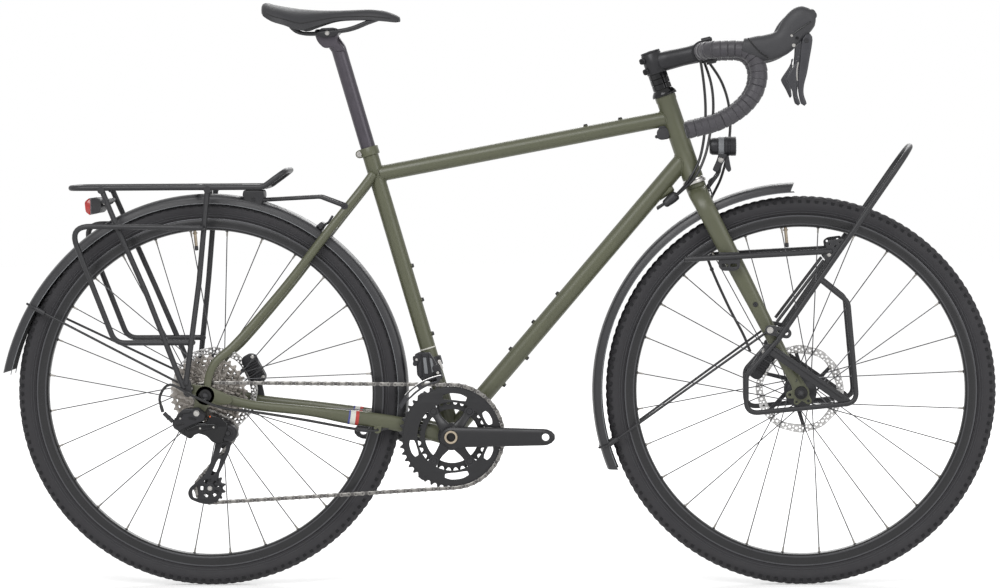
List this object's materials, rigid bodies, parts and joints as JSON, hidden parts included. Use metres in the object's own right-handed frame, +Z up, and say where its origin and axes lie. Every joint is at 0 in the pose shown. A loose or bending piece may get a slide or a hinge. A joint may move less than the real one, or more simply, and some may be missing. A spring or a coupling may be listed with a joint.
{
  "type": "touring bicycle",
  "caption": "Touring bicycle with a diamond frame, drop bar, disc brakes, mudguards, front and rear carriers, dynamo headlight and tail lamp.",
  "frame": {"origin": "On the ground, in the bicycle's middle plane, halfway between the foremost and rearmost points at rest.", "axes": "+X forward along the bicycle, +Y to the rider's left, +Z up. The drive side faces -Y."},
  "size_m": [1.7968, 0.4978, 1.0552],
  "materials": {
    "frame_paint": "matte",
    "black_alloy": "satin anodised",
    "black_steel": "powder coated",
    "black_plastic": "matte",
    "cable_sheath": "satin",
    "tyre_rubber": "matte",
    "grip_rubber": "matte",
    "bright_steel": "brushed",
    "chain_steel": "plated",
    "saddle_cover": "matte",
    "bar_tape": "matte wrap",
    "lamp_lens": "gloss"
  },
  "bodies": {
    "frame": {"head_tube": "frame_paint", "top_tube": "frame_paint", "down_tube": "frame_paint", "seat_tube": "frame_paint", "bottom_bracket_shell": "frame_paint", "chainstay_right": "frame_paint", "chainstay_left": "frame_paint", "seatstay_right": "frame_paint", "seatstay_left": "frame_paint", "headset_lower_cup": "bright_steel", "bottom_bracket_bearings": "black_alloy", "front_derailleur_body": "black_alloy", "rear_derailleur_body": "black_alloy", "chain": "chain_steel", "rear_fender": "black_plastic", "rear_fender_stay": "black_steel", "rear_rack": "black_steel", "tail_light": "lamp_lens", "rear_derailleur_housing": "cable_sheath", "control_cables": "cable_sheath", "rear_calliper": "black_alloy", "rear_axle": "black_alloy"},
    "seat": {"seatpost": "black_alloy", "saddle_rails": "black_steel", "saddle": "saddle_cover"},
    "steering": {"fork": "frame_paint", "headset_spacers": "black_alloy", "stem": "black_alloy", "handlebar": "bar_tape", "hood_right": "grip_rubber", "hood_left": "grip_rubber", "front_fender": "black_plastic", "front_fender_stay": "black_steel", "front_rack": "black_steel", "headlight": "black_alloy", "front_brake_hose": "cable_sheath", "dynamo_wire": "cable_sheath", "front_calliper": "black_alloy", "front_axle": "black_alloy"},
    "brake_lever_right": {"lever_right": "black_alloy"},
    "brake_lever_left": {"lever_left": "black_alloy"},
    "shift_paddle_right_body": {"shift_paddle_right": "black_plastic"},
    "shift_paddle_left_body": {"shift_paddle_left": "black_plastic"},
    "front_wheel": {"front_tyre": "tyre_rubber", "front_rim": "black_alloy", "front_hub": "black_alloy", "front_rotor": "bright_steel"},
    "rear_wheel": {"rear_tyre": "tyre_rubber", "rear_rim": "black_alloy", "rear_hub": "black_alloy", "rear_rotor": "bright_steel"},
    "crankset": {"crank_right": "black_alloy", "crank_left": "black_alloy", "chainrings": "black_alloy"},
    "sprockets": {"cassette": "bright_steel"},
    "front_changer_cage": {"front_derailleur_cage": "bright_steel"},
    "rear_changer_cage": {"rear_derailleur_cage": "black_alloy"},
    "upper_jockey": {"guide_pulley": "black_plastic"},
    "lower_jockey": {"tension_pulley": "black_plastic"}
  },
  "joints": [
    {"name": "saddle_height", "type": "slide", "parent": "frame", "child": "seat", "axis": [-0.2782, 0, 0.9605], "range_m": [-0.06, 0.08]},
    {"name": "steering_turn", "type": "hinge", "parent": "frame", "child": "steering", "pos_m": [0.49127, 0, 0.33169], "axis": [-0.3173, 0, 0.9483], "range_deg": [-60, 60], "deforming": ["control_cables"]},
    {"name": "front_wheel_spin", "type": "hinge", "parent": "steering", "child": "front_wheel", "pos_m": [0.54779, 0, 0.3506], "axis": [0, 1, 0], "continuous": true},
    {"name": "rear_wheel_spin", "type": "hinge", "parent": "frame", "child": "rear_wheel", "pos_m": [-0.52021, 0, 0.3506], "axis": [0, 1, 0], "continuous": true},
    {"name": "crank_turn", "type": "hinge", "parent": "frame", "child": "crankset", "pos_m": [-0.07888, 0, 0.2736], "axis": [0, 1, 0], "continuous": true},
    {"name": "cassette_spin", "type": "hinge", "parent": "frame", "child": "sprockets", "pos_m": [-0.52021, 0, 0.3506], "axis": [0, 1, 0], "continuous": true},
    {"name": "tension_arm", "type": "hinge", "parent": "frame", "child": "rear_changer_cage", "pos_m": [-0.47921, 0, 0.2829], "axis": [0, 1, 0], "range_deg": [-8, 25], "stiffness_Nm_per_rad": 0.6, "deforming": ["chain"]},
    {"name": "upper_jockey_spin", "type": "hinge", "parent": "rear_changer_cage", "child": "upper_jockey", "pos_m": [-0.48721, -0.063, 0.2859], "axis": [0, 1, 0], "continuous": true},
    {"name": "lower_jockey_spin", "type": "hinge", "parent": "rear_changer_cage", "child": "lower_jockey", "pos_m": [-0.51481, -0.063, 0.1824], "axis": [0, 1, 0], "continuous": true},
    {"name": "front_cage_trim", "type": "slide", "parent": "frame", "child": "front_changer_cage", "axis": [0, -1, 0], "range_m": [0, 0.0008]},
    {"name": "brake_lever_right_pull", "type": "hinge", "parent": "steering", "child": "brake_lever_right", "pos_m": [0.55529, -0.219, 0.97561], "axis": [0, 1, 0], "range_deg": [0, 18], "stiffness_Nm_per_rad": 0.9, "springref_deg": -2.86},
    {"name": "shift_paddle_right_push", "type": "hinge", "parent": "brake_lever_right", "child": "shift_paddle_right_body", "pos_m": [0.53529, -0.219, 0.92261], "axis": [1, 0, 0], "range_deg": [0, 10], "stiffness_Nm_per_rad": 0.05},
    {"name": "brake_lever_left_pull", "type": "hinge", "parent": "steering", "child": "brake_lever_left", "pos_m": [0.55529, 0.219, 0.97561], "axis": [0, 1, 0], "range_deg": [0, 18], "stiffness_Nm_per_rad": 0.9, "springref_deg": -2.86},
    {"name": "shift_paddle_left_push", "type": "hinge", "parent": "brake_lever_left", "child": "shift_paddle_left_body", "pos_m": [0.53529, 0.219, 0.92261], "axis": [1, 0, 0], "range_deg": [-10, 0], "stiffness_Nm_per_rad": 0.05}
  ],
  "couplings": [
    {"joint": "cassette_spin", "follows": "crank_turn", "ratio": 4.1818},
    {"joint": "upper_jockey_spin", "follows": "crank_turn", "ratio": -4.1818},
    {"joint": "lower_jockey_spin", "follows": "crank_turn", "ratio": 3.5385}
  ]
}
